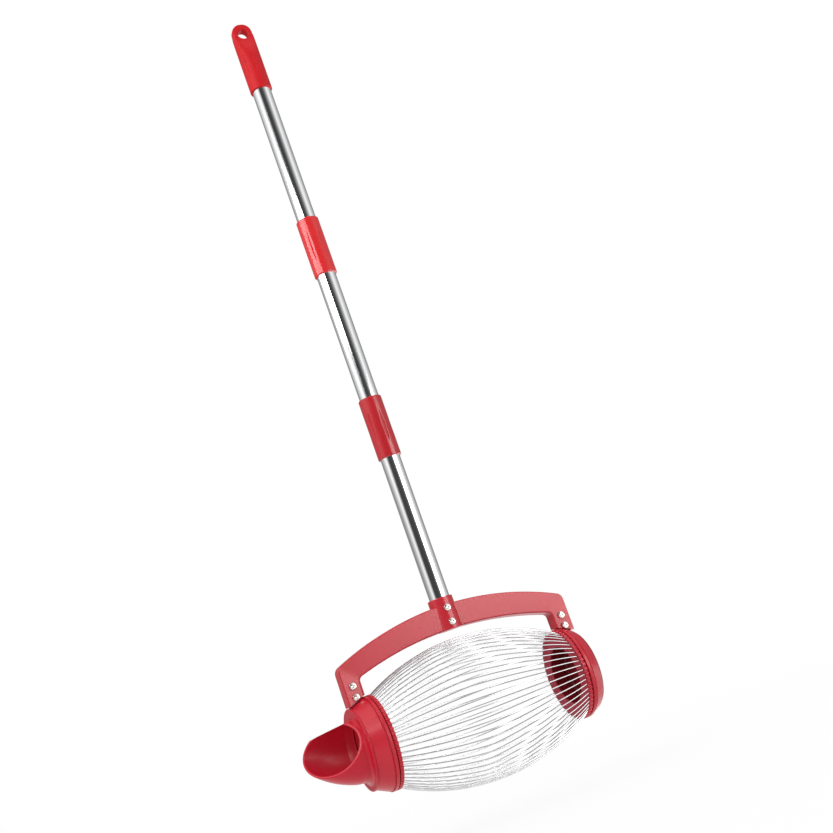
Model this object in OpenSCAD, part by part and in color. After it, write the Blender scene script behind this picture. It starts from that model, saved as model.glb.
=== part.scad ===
/* [Handle] */
// Outer diameter of the steel tube sections
tube_d = 22; // [18:0.5:28]
// Wall of the steel tube sections
tube_wall = 1; // [0.6:0.1:2]
// Bare length of the lower tube, from the yoke to the lower coupling
lower_bare = 160; // [60:1:400]
// Bare length of the middle tube, between the couplings
mid_bare = 151; // [60:1:400]
// Bare length of the upper tube, from the upper coupling to the grip
upper_bare = 171; // [60:1:400]
// Length of the grip, with its flat tab
grip_len = 89; // [60:1:160]
// Plastic wall of the grip around the tube
grip_wall = 2; // [1.5:0.1:4]
// Distance from the hang hole's centre down to the tube's end
grip_crown = 28.5; // [28.2:0.1:40]
// Radius of the tab's round end, beyond the grip's own radius
tab_round = 0.4; // [0.2:0.1:3]
// Thickness of the flat tab at the top of the grip
hang_tab_t = 11; // [6:0.5:16]
// Distance from the hang hole's centre down to the foot of the flat faces
hang_tab_drop = 8; // [7:0.5:9]
// Height over which the flat faces lead out to the round grip
hang_ramp = 20; // [14:0.5:20]
// Diameter of the hang hole
hang_d = 12.5; // [5:0.1:13]
// Depth of the chamfer on both rims of the hang hole
hang_chamfer = 0.8; // [0.2:0.1:1.5]
// Flutes round the grip
grip_flutes = 8; // [4:1:10]
// Height of the flutes' middle above the grip's lower rim
grip_flute_rise = 34; // [24:1:50]
// Length of a grip flute
grip_flute_len = 32; // [20:1:40]
// Width of a grip flute at its middle
grip_flute_w = 3.4; // [2:0.1:4]
// Depth of a grip flute at its middle
grip_flute_depth = 0.5; // [0.3:0.1:1]
// Turn of the first grip flute from the roller's axis
grip_flute_turn = 40; // [0:1:44]

/* [Couplings] */
// Length of a coupling sleeve
sleeve_len = 70; // [62:1:110]
// Plastic wall of a sleeve around the tube
sleeve_wall = 1.95; // [1.5:0.05:4]
// Depth to which the fixed tube sits in the foot of its sleeve
sleeve_seat = 30; // [15:1:40]
// Depth to which the screwed tube enters the mouth of the sleeve
mouth_depth = 14.5; // [8:0.5:16]
// Chamfer on both ends of a sleeve
sleeve_chamfer = 0.8; // [0.2:0.1:1.2]
// Flutes round a sleeve
sleeve_flutes = 6; // [3:1:8]
// Length of a sleeve flute
sleeve_flute_len = 38; // [20:1:46]
// Width of a sleeve flute at its middle
sleeve_flute_w = 4.2; // [2:0.1:5]
// Depth of a sleeve flute at its middle
sleeve_flute_depth = 0.75; // [0.3:0.05:1.2]
// Turn of the first sleeve flute from the roller's axis
sleeve_flute_turn = 46; // [0:1:59]
// Radial step from the tube's bore down to the threaded stud
stud_step = 2; // [1.5:0.1:3]
// Length of the threaded stud
stud_len = 21.5; // [12:0.5:23.5]
// Length of the insert inside the tube
insert_len = 25; // [10:1:40]
// Thickness of the sealing ring under the tube's end
seal_t = 1.5; // [0.8:0.1:3]

/* [Yoke] */
// Height of the arch at its crown
arch_h = 26; // [18:0.5:40]
// Front to back thickness of the arch and lugs
arch_t = 18; // [14:0.5:26]
// Radius of the arch's top edge
top_arc_r = 318; // [250:1:500]
// Radius of the arch's lower edge
under_arc_r = 370; // [280:1:600]
// Gap between the cage and the crown of the arch
arch_gap = 9.5; // [6:0.5:20]
// Radius of the arch's outer corners
corner_r = 8; // [4:0.5:10]
// Radius of the inner corners above the lugs
inner_corner_r = 5; // [2:0.5:8]
// Width of a lug along the roller
lug_w = 19; // [16:0.5:24]
// Distance from a collar's inner face to the lug's inner side
lug_inset = 1; // [0.5:0.1:3]
// Wall left around the pockets in the back of the arch
pocket_wall = 3; // [2:0.5:5]
// Thickness of the ribs in the pockets
rib_t = 2.5; // [1.5:0.5:4]
// Ribs on each side of the boss
rib_count = 3; // [1:1:5]
// Plastic wall of the boss around the lower tube
boss_wall = 2.5; // [2:0.1:5]
// Height of the boss above the crown of the arch
boss_rise = 8; // [4:0.5:20]
// Floor of the boss under the tube
boss_floor = 2.5; // [2:0.1:5]

/* [Cage] */
// Diameter over the wires at the middle of the cage
cage_d = 149; // [130:1:180]
// Length of the cage between the faces that hold the wires
cage_len = 212.4; // [180:0.2:260]
// Number of wires
wire_count = 60; // [30:1:64]
// Diameter of a wire
wire_d = 1.2; // [1:0.1:2]
// Outer diameter of the toothed rings
ring_d = 97; // [92:0.5:104]
// Thickness of a toothed ring
ring_t = 4.5; // [4:0.1:6]
// Plastic between a wire's centre and the ring's edge, at the inner face
wire_edge = 2; // [1.8:0.1:3]
// Bore of the rings, through which the nuts leave
throat_d = 60; // [50:1:62]
// Wall of the journal that turns in the collar
journal_wall = 4; // [2.5:0.1:4.5]
// Depth of the notches between the teeth
notch_depth = 0.8; // [0.3:0.1:1]
// Radius of the notches between the teeth
notch_r = 1.3; // [1:0.1:1.5]
// Thickness of the keeper that closes the wire holes
keeper_t = 1.5; // [1:0.1:2]
// Width of the keeper, measured along the radius
keeper_w = 6.6; // [5.5:0.1:7]

/* [Collars] */
// Length of the left collar along the roller
collar_len = 19.5; // [18:0.1:30]
// Length of the right collar along the roller
cap_collar_len = 14; // [12:0.1:18]
// Radius lost by the left collar's cone from the lip to its outer end
collar_drop = 7.2; // [2:0.1:8]
// Length of the lip beside the toothed ring
lip_len = 3.5; // [2:0.1:6]
// Radial step from the lip to the cone
lip_step = 0.5; // [0.2:0.1:1.5]
// Outer wall of a collar
collar_wall = 2.5; // [2:0.1:3.5]
// Wall around the bearing bore of a collar
bearing_wall = 3; // [2:0.1:3.2]
// Thickness of the tab that the lug straddles
tab_t = 8; // [5:0.5:9]
// Width of the tab along the roller
tab_w = 15; // [11:0.5:16]
// Depth to which the spout and the end cap plug into the bearing bore
spigot_len = 3.5; // [2:0.1:6]
// Free room between the journal's end and the plugged-in piece
journal_room = 1; // [0.5:0.1:2]

/* [Spout] */
// Thickness of the flange on the spout and the end cap
flange_t = 2; // [1.6:0.1:4]
// Rim of the flange beyond the left collar's outer end
flange_rim = 1; // [0:0.1:2]
// Fillet from the flange to the scoop
neck_r = 7; // [3:0.5:9]
// Depth to which the fillet's end runs into the scoop's side
neck_sink = 1.5; // [1:0.1:2]
// Outer diameter of the scoop at its root
scoop_d = 63.2; // [56:0.2:64]
// Radius of the arc that draws the scoop in towards its tip
scoop_arc_r = 92; // [76:1:140]
// Wall of the scoop
scoop_wall = 2.2; // [1.6:0.1:3]
// Upward tilt of the scoop's axis, in degrees
scoop_tilt = 14; // [8:0.1:16]
// Distance from the scoop's root to the mouth's plane, along its axis
mouth_reach = 35.7; // [34:0.1:44]
// Slope of the mouth's plane, in degrees
mouth_slope = 47.2; // [40:0.2:48]
// Turn of the mouth from the front towards the top, in degrees
mouth_turn = 19.6; // [0:0.2:60]
// Room around the scoop inside which the mouth is cut
mouth_room = 0.5; // [0.2:0.1:1.5]
// Height of the flat cut on top of the scoop above its axis, at the root
brim_h = 31.8; // [31.6:0.1:36]
// Fall of the flat cut towards the tip, in degrees
brim_slope = 20.6; // [10:0.2:30]
// Thickness of the end cap's plate
cap_t = 2.5; // [1.6:0.1:4]

/* [Fasteners] */
// Nominal diameter of the screws
screw_d = 4; // [3:0.5:4.5]
// Diameter of a pan head
head_d = 7.2; // [6.5:0.1:8]
// Height of a pan head
head_h = 2.4; // [1.6:0.1:3]
// Width of a nut across its flats
nut_flats = 7; // [6:0.1:8]
// Height of a nut
nut_h = 3.2; // [2:0.1:4]
// Thread that stands out past a nut
screw_tail = 0.5; // [0:0.1:2]
// Distance between the two screws of a lug
lug_screw_pitch = 11.5; // [9:0.1:14]
// Distance from a lug's end to its first screw
lug_screw_edge = 4.2; // [4:0.1:6]
// Distance from the boss's top to its first screw
boss_screw_drop = 12; // [8:0.1:14]
// Distance between the two screws of the boss
boss_screw_pitch = 15.2; // [10:0.1:16]

/* [Clearances] */
// Radial clearance of a tube or insert in its fixed seat
seat_clear = 0.05; // [0.02:0.01:0.1]
// Radial clearance of the journals and the screwed studs
run_clear = 0.08; // [0.04:0.01:0.1]
// Gap between a turning face and a fixed face
face_gap = 0.3; // [0.2:0.05:0.6]
// Radial clearance of the screws in their holes
hole_clear = 0.1; // [0.05:0.05:0.3]
// Clearance of the tab in the lug's slot, on each side
slot_clear = 0.15; // [0.05:0.05:0.4]
// Radial clearance of the screwed tube in the sleeve's mouth
mouth_clear = 0.2; // [0.1:0.05:0.4]
// Gap between the lug's end and the collar's cone
lug_gap = 0.5; // [0.3:0.1:2]

/* [Hidden] */

$fn = 96;
red = "#c8202f";
steel = "#c9ccd0";
rubber = "#2b2b2b";
// Cones that make up the scoop's tapered side
scoop_steps = 10;
// Overshoot of a cutting shape past the face that it opens
over = 1;
// A length larger than any piece of the roller end
far = 400;

// Radii round the handle's axis
tube_r = tube_d / 2;
bore_r = tube_r - tube_wall;
stud_r = bore_r - stud_step;
sleeve_r = tube_r + sleeve_wall;
grip_r = tube_r + grip_wall;
boss_r = tube_r + boss_wall;
socket_r = tube_r + seat_clear;

// Radii round the roller's axis
cage_r = cage_d / 2;
wire_r = wire_d / 2;
ring_r = ring_d / 2;
wire_mid_r = cage_r - wire_r;
wire_root_r = ring_r - wire_edge;
throat_r = throat_d / 2;
journal_r = throat_r + journal_wall;
bearing_r = journal_r + run_clear;
spigot_r = bearing_r - seat_clear;
cone_r = ring_r - lip_step;
collar_end_r = cone_r - collar_drop;
flange_r = collar_end_r + flange_rim;
scoop_r = scoop_d / 2;

// Stations along the roller, counted outwards from its middle
face_s = cage_len / 2;
ring_back_s = face_s + ring_t;
collar_s = ring_back_s + face_gap;
lip_s = collar_s + lip_len;
collar_end_s = collar_s + collar_len;
cap_end_s = collar_s + cap_collar_len;
flange_end_s = collar_end_s + flange_t;
neck_end_s = flange_end_s + neck_r;
lug_in_s = collar_s + lug_inset;
lug_out_s = lug_in_s + lug_w;
lug_mid_s = (lug_in_s + lug_out_s) / 2;

// Arc of a wire, from its rise between the ring and the middle of the cage
wire_rise = wire_mid_r - wire_root_r;
wire_arc_r = (face_s * face_s + wire_rise * wire_rise) / (2 * wire_rise);
wire_slope = asin(face_s / wire_arc_r);
keeper_s = ring_back_s - keeper_t;
wire_hole_len = (ring_t - keeper_t) / cos(wire_slope);
wire_end_s = keeper_s - wire_r * sin(wire_slope) - seat_clear;
wire_half_angle = asin(wire_end_s / wire_arc_r);
keeper_mid_r = wire_root_r - (ring_t - keeper_t) * tan(wire_slope);
keeper_in_r = keeper_mid_r - keeper_w / 2;
keeper_out_r = keeper_mid_r + keeper_w / 2;

// Heights above the ground
axis_z = cage_r;
arch_under_z = axis_z + cage_r + arch_gap;
arch_top_z = arch_under_z + arch_h;
boss_top_z = arch_top_z + boss_rise;
lower_foot_z = arch_under_z + boss_floor;
lower_sleeve_z = boss_top_z + lower_bare;
upper_sleeve_z = lower_sleeve_z + sleeve_len + mid_bare;
grip_z = upper_sleeve_z + sleeve_len + upper_bare;
grip_top_z = grip_z + grip_len;
hang_z = grip_top_z - grip_r - tab_round;
upper_end_z = hang_z - grip_crown;

// Lug and boss screws
lug_foot_z = axis_z + cone_at(lug_mid_s) + lug_gap;
lug_screw_z = [lug_foot_z + lug_screw_edge, lug_foot_z + lug_screw_edge + lug_screw_pitch];
tab_top_z = lug_screw_z[1] + lug_screw_edge;
boss_screw_z = [boss_top_z - boss_screw_drop, boss_top_z - boss_screw_drop - boss_screw_pitch];
seat_y = sqrt(boss_r * boss_r - head_d * head_d / 4);
hole_r = screw_d / 2 + hole_clear;
nut_corner_r = nut_flats / 2 / cos(30);

// Radius of the collar's cone at station s
function cone_at(s) = cone_r - collar_drop * (s - lip_s) / (collar_end_s - lip_s);
// Station of a collar's outer end, at the left or the right end of the roller
function end_s(side) = side < 0 ? collar_end_s : cap_end_s;
// Radius at which a collar's tab starts: in the skin at the left, clear of the cap's flange at the right
function tab_foot_r(side) = side < 0 ? collar_end_r - collar_wall : flange_r + lug_gap;
// Height of a sleeve's inner steps, counted from its foot
function mouth_z(foot_z) = foot_z + sleeve_len - mouth_depth - seal_t;
function tube_foot_z(foot_z) = foot_z + sleeve_len - mouth_depth;

// Turns a solid drawn along +Z so that it points outwards along the roller, at the left or the right end
module at_end(side) {
    translate([0, 0, axis_z]) rotate([0, side * 90, 0]) children();
}

// A round piece of the roller, from a profile of radius across and station up
module turned(side) {
    at_end(side) rotate_extrude() children();
}

// A profile's rectangle between two radii and two stations
module band(r0, r1, s0, s1) {
    translate([r0, s0]) square([r1 - r0, s1 - s0]);
}

// A plain pipe standing on z
module pipe(r_out, r_in, z, h) {
    translate([0, 0, z])
        difference() {
            cylinder(r = r_out, h = h);
            translate([0, 0, -over]) cylinder(r = r_in, h = h + 2 * over);
        }
}

// A rod along Y between two depths
module rod_y(r, y0, y1) {
    translate([0, y0, 0]) rotate([-90, 0, 0]) cylinder(r = r, h = y1 - y0);
}

// The places of the four lug screws and of the two boss screws
module at_lug_screws() {
    for (side = [-1, 1], z = lug_screw_z) translate([side * lug_mid_s, 0, z]) children();
}

module at_boss_screws() {
    for (z = boss_screw_z) translate([0, 0, z]) children();
}

// A pan-head screw from the front, with its head on the face at -seat and its nut on the face at +seat
module pan_screw(seat) {
    rod_y(screw_d / 2, -seat, seat + nut_h + screw_tail);
    translate([0, -seat, 0])
        rotate([90, 0, 0])
            intersection() {
                cylinder(d = head_d, h = head_h);
                translate([0, 0, head_h - head_d]) sphere(r = head_d);
            }
}

module hex_nut(seat) {
    translate([0, seat, 0])
        rotate([-90, 0, 0])
            difference() {
                cylinder(r = nut_corner_r, h = nut_h, $fn = 6);
                translate([0, 0, -over]) cylinder(r = screw_d / 2 + seat_clear, h = nut_h + 2 * over);
            }
}

module grip() {
    half = grip_r + over;
    color(red)
        difference() {
            intersection() {
                translate([0, 0, grip_z]) cylinder(r = grip_r, h = grip_len);
                extrude_y(-half, half) grip_front();
                rotate([0, 0, 90]) extrude_y(-half, half) grip_side();
            }
            translate([0, 0, grip_z - over]) cylinder(r = socket_r, h = upper_end_z - grip_z + over);
            translate([0, 0, hang_z]) rod_y(hang_d / 2, -half, half);
            translate([0, 0, grip_z + grip_flute_rise])
                flutes(grip_r, grip_flutes, grip_flute_turn, grip_flute_len, grip_flute_w, grip_flute_depth);
            for (turn = [0, 180])
                translate([0, 0, hang_z]) rotate([0, 0, turn]) hang_rim();
        }
}

// Front outline of the grip: straight sides and a round top
module grip_front() {
    half = grip_r + over;
    translate([-half, grip_z - over]) square([2 * half, hang_z - grip_z + over]);
    translate([0, hang_z]) circle(r = grip_r + tab_round);
}

// Side outline of the grip: full width, then a ramp on both sides up to the flat tab
module grip_side() {
    half = grip_r + over;
    tab = hang_tab_t / 2;
    tab_z = hang_z - hang_tab_drop;
    ramp_z = tab_z - hang_ramp * (half - tab) / (grip_r - tab);
    top_z = grip_top_z + over;
    foot_z = grip_z - over;
    polygon([[-half, foot_z], [half, foot_z], [half, ramp_z], [tab, tab_z],
             [tab, top_z], [-tab, top_z], [-tab, tab_z], [-half, ramp_z]]);
}

// Leaf-shaped flutes round an upright cylinder, each as a large wheel with a sharp edge leaves it
module flutes(r, count, turn, len, w, depth) {
    wheel_r = (len * len / 4 + depth * depth) / (2 * depth);
    sweep = asin(len / wheel_r);
    edge = [[wheel_r, 0], [wheel_r - 2 * depth, -w], [wheel_r - 2 * depth, w]];
    for (i = [0 : count - 1])
        rotate([0, 0, turn + i * 360 / count])
            translate([r - depth + wheel_r, 0, 0])
                rotate([90, 0, 0])
                    rotate_extrude(angle = 2 * sweep, start = 180 - sweep, $fn = 720) polygon(edge);
}

// Chamfer where the hang hole meets a flat face of the tab
module hang_rim() {
    translate([0, hang_tab_t / 2 - hang_chamfer, 0])
        rotate([-90, 0, 0])
            cylinder(r1 = hang_d / 2, r2 = hang_d / 2 + hang_chamfer + over, h = hang_chamfer + over);
}

// A section of handle tube between two heights
module tube_section(z0, z1) {
    color(steel) pipe(tube_r, bore_r, z0, z1 - z0);
}

module upper_tube() {
    tube_section(tube_foot_z(upper_sleeve_z), upper_end_z);
}

module mid_tube() {
    tube_section(tube_foot_z(lower_sleeve_z), upper_sleeve_z + sleeve_seat);
}

module lower_tube() {
    difference() {
        tube_section(lower_foot_z, lower_sleeve_z + sleeve_seat);
        at_boss_screws() rod_y(hole_r, -boss_r, boss_r);
    }
}

// Insert in a tube's lower end, with the stud that screws into the sleeve below
module screw_plug(foot_z) {
    color(red)
        translate([0, 0, tube_foot_z(foot_z)]) {
            cylinder(r = bore_r - seat_clear, h = insert_len);
            translate([0, 0, -stud_len]) cylinder(r = stud_r, h = stud_len);
        }
}

module upper_plug() {
    screw_plug(upper_sleeve_z);
}

module mid_plug() {
    screw_plug(lower_sleeve_z);
}

// Ring that the tube's end is screwed down on
module seal_ring(foot_z) {
    color(rubber) pipe(tube_r - face_gap, stud_r + face_gap, mouth_z(foot_z), seal_t);
}

module upper_seal() {
    seal_ring(upper_sleeve_z);
}

module lower_seal() {
    seal_ring(lower_sleeve_z);
}

// Sleeve fixed on the tube below, with the thread and the mouth for the tube above
module coupling_sleeve(foot_z) {
    waist = sleeve_r - sleeve_chamfer;
    color(red)
        difference() {
            translate([0, 0, foot_z])
                rotate_extrude()
                    polygon([[0, 0], [waist, 0], [sleeve_r, sleeve_chamfer],
                             [sleeve_r, sleeve_len - sleeve_chamfer], [waist, sleeve_len], [0, sleeve_len]]);
            translate([0, 0, foot_z - over]) cylinder(r = socket_r, h = sleeve_seat + over);
            translate([0, 0, foot_z]) cylinder(r = stud_r + run_clear, h = sleeve_len);
            translate([0, 0, mouth_z(foot_z)]) cylinder(r = tube_r + mouth_clear, h = sleeve_len);
            translate([0, 0, foot_z + sleeve_len / 2])
                flutes(sleeve_r, sleeve_flutes, sleeve_flute_turn,
                       sleeve_flute_len, sleeve_flute_w, sleeve_flute_depth);
        }
}

module upper_sleeve() {
    coupling_sleeve(upper_sleeve_z);
}

module lower_sleeve() {
    coupling_sleeve(lower_sleeve_z);
}

// Front outline of an arch down to the roller's axis: round crown, round shoulders and straight sides
module arch_outline(half_w, crown_z, arc_r, shoulder_r) {
    shoulder_x = half_w - shoulder_r;
    arc_z = crown_z - arc_r;
    shoulder_z = arc_z + sqrt(pow(arc_r - shoulder_r, 2) - shoulder_x * shoulder_x);
    intersection() {
        translate([0, arc_z]) circle(r = arc_r, $fn = 720);
        translate([-shoulder_x, axis_z]) square([2 * shoulder_x, far]);
    }
    translate([-half_w, axis_z]) square([2 * half_w, shoulder_z - axis_z]);
    for (side = [-1, 1]) translate([side * shoulder_x, shoulder_z]) circle(r = shoulder_r);
}

// Front outline of the yoke, drawn in by a margin all round
module yoke_outline(margin) {
    difference() {
        arch_outline(lug_out_s - margin, arch_top_z - margin, top_arc_r - margin, corner_r - margin);
        arch_outline(lug_in_s + margin, arch_under_z + margin, under_arc_r + margin, inner_corner_r + margin);
        for (side = [-1, 1]) to_side(side) lug_foot_cut();
    }
}

// What the collar's cone and the flange beside it take off the foot of a lug
module lug_foot_cut() {
    s0 = lug_in_s - over;
    s1 = lug_out_s + over;
    rim_s = collar_end_s - lug_gap;
    rim_z = axis_z + flange_r + lug_gap;
    polygon([[s0, axis_z - over], [s1, axis_z - over], [s1, rim_z], [rim_s, rim_z],
             [rim_s, axis_z + cone_at(rim_s) + lug_gap], [s0, axis_z + cone_at(s0) + lug_gap]]);
}

// Pockets in the back of the arch, between the boss, the ribs and the lugs
module arch_pockets() {
    pocket_from = boss_r + pocket_wall;
    pocket_to = lug_in_s - pocket_wall;
    step = (pocket_to - pocket_from + rib_t) / (rib_count + 1);
    intersection() {
        extrude_y(-arch_t / 2 + pocket_wall, arch_t / 2 + over) yoke_outline(pocket_wall);
        for (side = [-1, 1], i = [0 : rib_count])
            to_side(side)
                translate([pocket_from + i * step, -arch_t, axis_z]) cube([step - rib_t, 2 * arch_t, far]);
    }
}

// An outline drawn in X and Z, given depth between two values of Y
module extrude_y(y0, y1) {
    translate([0, y1, 0]) rotate([90, 0, 0]) linear_extrude(height = y1 - y0) children();
}

// The right-hand half as it stands, or mirrored to the left
module to_side(side) {
    mirror([side < 0 ? 1 : 0, 0, 0]) children();
}

module yoke() {
    slot = tab_t / 2 + slot_clear;
    slot_w = tab_w + 2 * slot_clear;
    color(red)
        difference() {
            union() {
                extrude_y(-arch_t / 2, arch_t / 2) yoke_outline(0);
                translate([0, 0, arch_under_z]) cylinder(r = boss_r, h = boss_top_z - arch_under_z);
            }
            arch_pockets();
            translate([0, 0, lower_foot_z]) cylinder(r = socket_r, h = far);
            for (side = [-1, 1])
                to_side(side)
                    translate([lug_mid_s - slot_w / 2, -slot, axis_z])
                        cube([slot_w, 2 * slot, tab_top_z + slot_clear - axis_z]);
            at_lug_screws() rod_y(hole_r, -arch_t, arch_t);
            at_boss_screws() rod_y(hole_r, -2 * boss_r, 2 * boss_r);
            at_boss_screws() rod_y(head_d / 2 + hole_clear, -2 * boss_r, -seat_y);
            at_boss_screws() rod_y(nut_corner_r + hole_clear, seat_y, 2 * boss_r);
        }
}

module handle_screws() {
    color(steel) at_boss_screws() pan_screw(seat_y);
}

module handle_nuts() {
    color(steel) at_boss_screws() hex_nut(seat_y);
}

module lug_screws() {
    color(steel) at_lug_screws() pan_screw(arch_t / 2);
}

module lug_nuts() {
    color(steel) at_lug_screws() hex_nut(arch_t / 2);
}

// Fixed collar: lip, conical skin, bearing bore and the tab that the lug holds
module collar(side) {
    out_s = end_s(side);
    out_r = cone_at(out_s);
    skin_r = cone_r - collar_wall;
    foot_z = axis_z + tab_foot_r(side);
    color(red)
        difference() {
            union() {
                turned(side)
                    polygon([[bearing_r, collar_s], [ring_r, collar_s], [ring_r, lip_s], [cone_r, lip_s],
                             [out_r, out_s], [out_r - collar_wall, out_s], [skin_r, lip_s],
                             [bearing_r + bearing_wall, lip_s], [bearing_r + bearing_wall, out_s],
                             [bearing_r, out_s]]);
                translate([side * lug_mid_s - tab_w / 2, -tab_t / 2, foot_z])
                    cube([tab_w, tab_t, tab_top_z - foot_z]);
            }
            at_lug_screws() rod_y(hole_r, -arch_t, arch_t);
        }
}

module left_collar() {
    collar(-1);
}

module right_collar() {
    collar(1);
}

// Flange on a collar's outer end, with the spigot that plugs into the bearing bore
module flange_profile(side) {
    out_s = end_s(side);
    band(0, spigot_r, out_s - spigot_len, out_s + over);
    band(0, flange_r, out_s, out_s + flange_t);
}

// Body of the scoop along its own axis, in cones that follow an arc to the tip
module scoop_body(r, arc_r) {
    tip_angle = acos((arc_r - r) / arc_r);
    arc = [for (i = [0 : scoop_steps]) tip_angle * i / scoop_steps];
    skin = [for (a = arc) [r - arc_r + arc_r * cos(a), arc_r * sin(a)]];
    rotate_extrude() polygon(concat([[0, -2 * neck_r], [r, -2 * neck_r]], skin));
}

// What the slanting mouth and the flat brim on top take off the scoop
module mouth_cut() {
    intersection() {
        translate([0, 0, -2 * neck_r]) cylinder(r = scoop_r + mouth_room, h = far);
        union() {
            translate([0, 0, mouth_reach])
                rotate([0, 0, 90 + mouth_turn])
                    rotate([0, -mouth_slope, 0])
                        translate([-far / 2, -far / 2, 0]) cube([far, far, far / 2]);
            translate([brim_h, 0, 0])
                rotate([0, -brim_slope, 0])
                    translate([0, -far / 2, -far / 2]) cube([far, far, far]);
        }
    }
}

// Turns a solid drawn along +Z to the scoop's tilted axis, and keeps what is outside the middle of the flange
module on_scoop() {
    intersection() {
        at_end(-1) translate([0, 0, neck_end_s - neck_r / 2]) rotate([0, scoop_tilt, 0]) children();
        at_end(-1) translate([0, 0, collar_end_s + flange_t / 2]) cylinder(r = far / 2, h = far);
    }
}

module spout() {
    fillet_r = scoop_r + neck_r - neck_sink;
    color(red)
        difference() {
            union() {
                turned(-1) {
                    flange_profile(-1);
                    difference() {
                        band(0, fillet_r, flange_end_s - over, neck_end_s);
                        translate([fillet_r, neck_end_s]) circle(r = neck_r);
                    }
                }
                on_scoop() scoop_body(scoop_r, scoop_arc_r);
            }
            on_scoop() scoop_body(scoop_r - scoop_wall, scoop_arc_r - scoop_wall);
            on_scoop() mouth_cut();
            turned(-1) band(0, throat_r, collar_end_s - spigot_len - over, neck_end_s - neck_r / 2);
        }
}

module end_cap() {
    inner_s = cap_end_s + flange_t - cap_t;
    color(red)
        difference() {
            turned(1) flange_profile(1);
            turned(1) band(0, throat_r, cap_end_s - spigot_len - over, inner_s);
        }
}

// Toothed ring with the wire holes, the journal and the seat of the keeper
module cage_ring(side) {
    journal_end_s = end_s(side) - spigot_len - journal_room;
    color(red)
        difference() {
            turned(side) {
                band(throat_r, ring_r, face_s, ring_back_s);
                band(throat_r, journal_r, face_s, journal_end_s);
            }
            turned(side)
                band(keeper_in_r - seat_clear, keeper_out_r + seat_clear, keeper_s, ring_back_s + over);
            each_wire() to_side(side) wire_hole();
            at_end(side)
                for (i = [0 : wire_count - 1])
                    rotate([0, 0, (i + 0.5) * 360 / wire_count])
                        translate([ring_r - notch_depth + notch_r, 0, face_s - over])
                            cylinder(r = notch_r, h = ring_t + 2 * over, $fn = 24);
        }
}

module left_ring() {
    cage_ring(-1);
}

module right_ring() {
    cage_ring(1);
}

// Flat ring that keeps the wires from working out through the back of the toothed ring
module keeper(side) {
    color(red) turned(side) band(keeper_in_r, keeper_out_r, keeper_s, ring_back_s);
}

module left_keeper() {
    keeper(-1);
}

module right_keeper() {
    keeper(1);
}

// Copies of one wire's place, round the roller
module each_wire() {
    for (i = [0 : wire_count - 1])
        translate([0, 0, axis_z]) rotate([i * 360 / wire_count, 0, 0]) children();
}

// Slanting hole for a wire in the right-hand ring
module wire_hole() {
    translate([face_s, 0, wire_root_r])
        rotate([0, 90 + wire_slope, 0])
            translate([0, 0, -over])
                cylinder(r = wire_r + hole_clear, h = wire_hole_len + 2 * over, $fn = 36);
}

// The topmost wire, an arc that runs on into both rings
module wire() {
    translate([0, 0, wire_mid_r - wire_arc_r])
        rotate([90, 0, 0])
            rotate_extrude(angle = 2 * wire_half_angle, start = 90 - wire_half_angle, $fn = 120)
                translate([wire_arc_r, 0]) circle(r = wire_r, $fn = 36);
}

module wires() {
    color(steel) each_wire() wire();
}

grip();
upper_tube();
upper_plug();
upper_seal();
upper_sleeve();
mid_tube();
mid_plug();
lower_seal();
lower_sleeve();
lower_tube();
yoke();
handle_screws();
handle_nuts();
lug_screws();
lug_nuts();
left_collar();
right_collar();
spout();
end_cap();
left_ring();
right_ring();
left_keeper();
right_keeper();
wires();
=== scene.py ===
import math

import bmesh
import bpy
import numpy as np
from mathutils import Matrix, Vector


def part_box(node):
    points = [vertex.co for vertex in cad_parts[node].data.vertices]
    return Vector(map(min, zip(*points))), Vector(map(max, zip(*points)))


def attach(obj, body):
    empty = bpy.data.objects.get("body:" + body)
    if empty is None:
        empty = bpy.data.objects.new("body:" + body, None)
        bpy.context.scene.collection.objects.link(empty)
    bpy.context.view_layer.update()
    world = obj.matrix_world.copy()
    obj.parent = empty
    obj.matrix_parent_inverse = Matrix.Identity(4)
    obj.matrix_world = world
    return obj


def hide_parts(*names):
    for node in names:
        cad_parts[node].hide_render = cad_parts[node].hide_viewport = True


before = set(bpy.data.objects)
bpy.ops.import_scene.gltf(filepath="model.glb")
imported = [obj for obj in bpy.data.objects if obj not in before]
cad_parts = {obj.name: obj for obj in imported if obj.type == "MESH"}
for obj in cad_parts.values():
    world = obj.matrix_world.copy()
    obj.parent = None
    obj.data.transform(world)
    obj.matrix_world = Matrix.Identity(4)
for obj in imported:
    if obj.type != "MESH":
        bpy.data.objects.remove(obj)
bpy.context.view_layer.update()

# Toothed rings: two moulded red rings that carry the ends of the wires and turn on a journal in the
# collars, with one tooth for each wire. A thin disc on the face towards the cage is a dull mauve red,
# darkened as painted shade, and a lining in the bore at the closed end is a deep red, also painted shade.
# Sizes are in millimetres, and a station is a distance from the cage's middle.
MM = 0.001
MERGE_DIST = 1e-7
STRAIGHT = math.radians(89)
WIRE_COUNT = 60
TOOTH_SAMPLES = 14
TURN_SAMPLES = 144
RING_FACE = 106.2
RING_BACK = 109.9
RING_R = 48.5
THROAT_R, LINER_R, FACE_R = 30.0, 30.8, 47.2
JOURNAL_R = 34.0
LEFT, RIGHT = -1, 1
JOURNAL_END = {LEFT: 126.0, RIGHT: 120.5}
NOTCH_R = 1.3
NOTCH_DEPTH = 1.2
EVEN_R = 42.0
TOOTH_EASE, CORNER_CUT = 0.35, 0.4
LINING_DEPTH, LINING_EASE, FACE_PROUD = 0.3, 0.3, 0.06
AXIS_Z = (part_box("left_ring")[0].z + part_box("left_ring")[1].z) / 2 / MM


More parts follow.
